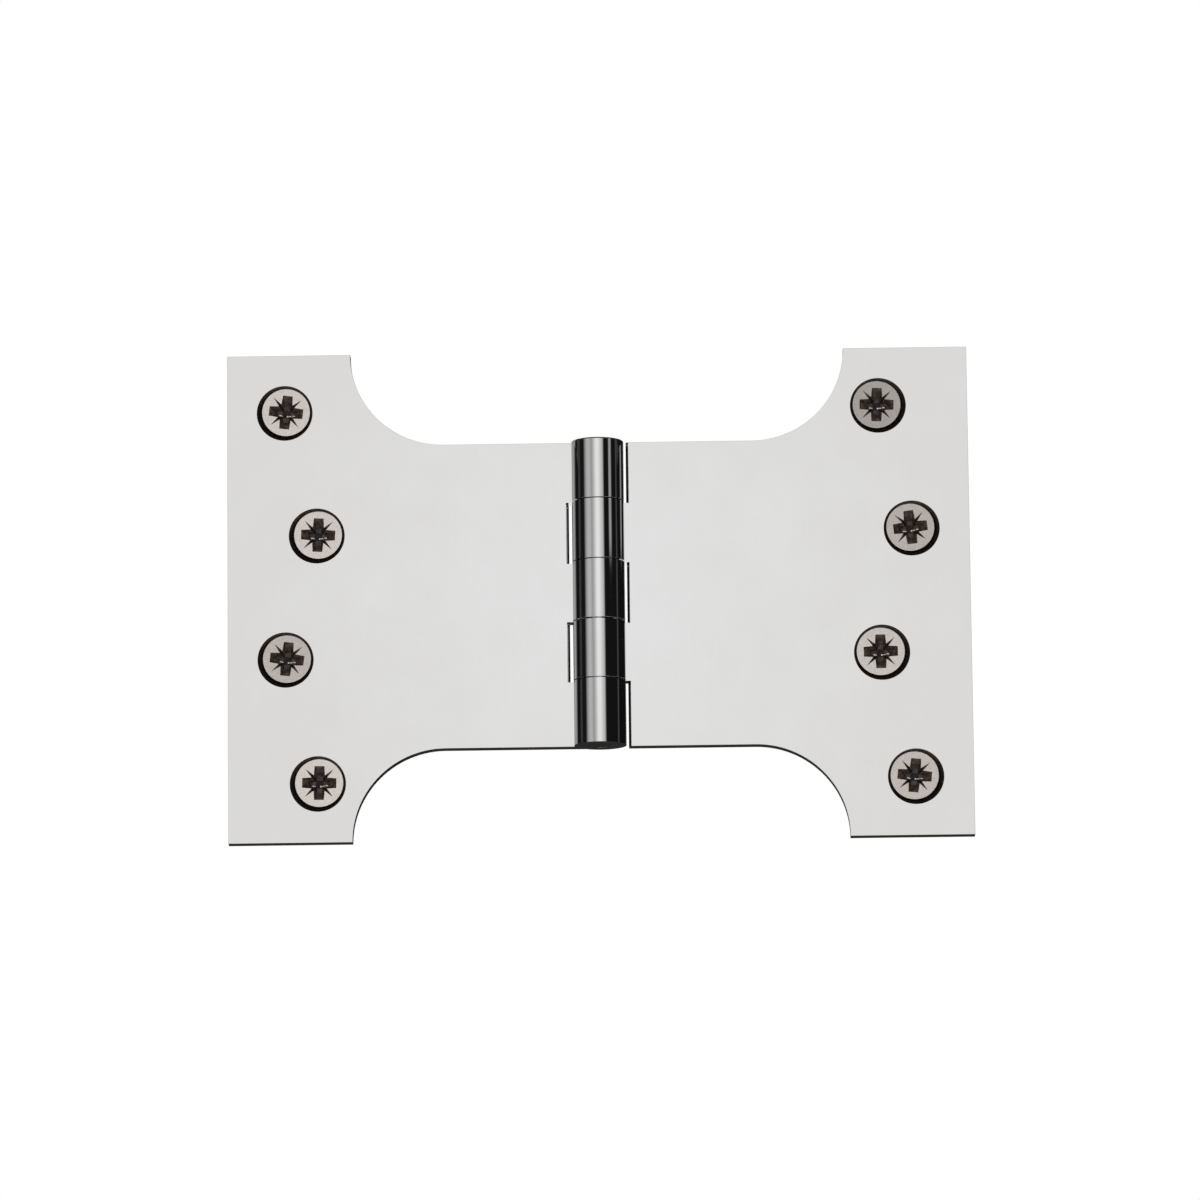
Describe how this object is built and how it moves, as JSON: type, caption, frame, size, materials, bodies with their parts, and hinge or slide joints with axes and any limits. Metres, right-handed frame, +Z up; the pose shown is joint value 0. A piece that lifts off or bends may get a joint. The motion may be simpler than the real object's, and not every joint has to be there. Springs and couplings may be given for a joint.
{
  "type": "parliament hinge",
  "caption": "Solid-drawn parliament hinge in polished chrome, shaped like an H when open, with staggered countersunk wood screws.",
  "frame": {"origin": "middle of the frame leaf's flange, on the back face that is screwed to the frame", "axes": "+Z up along the pin, +Y into the timber behind the back faces, +X from the frame leaf across the pin to the door leaf; the pin's axis is at x = 63.5 mm, y = -4.5 mm"},
  "size_m": [0.1524, 0.0385, 0.1016],
  "materials": {
    "leaf_chrome": "polished",
    "pin_steel": "satin",
    "screw_nickel": "satin"
  },
  "bodies": {
    "frame_side": {"frame_leaf": "leaf_chrome", "hinge_pin": "pin_steel", "frame_screw_1": "screw_nickel", "frame_screw_2": "screw_nickel", "frame_screw_3": "screw_nickel", "frame_screw_4": "screw_nickel"},
    "door_side": {"door_leaf": "leaf_chrome", "door_screw_1": "screw_nickel", "door_screw_2": "screw_nickel", "door_screw_3": "screw_nickel", "door_screw_4": "screw_nickel"}
  },
  "joints": [
    {"name": "pin_swing", "type": "hinge", "parent": "frame_side", "child": "door_side", "pos_m": [0.0635, -0.0045, 0], "axis": [0, 0, 1], "range_deg": [-180, 103]}
  ]
}
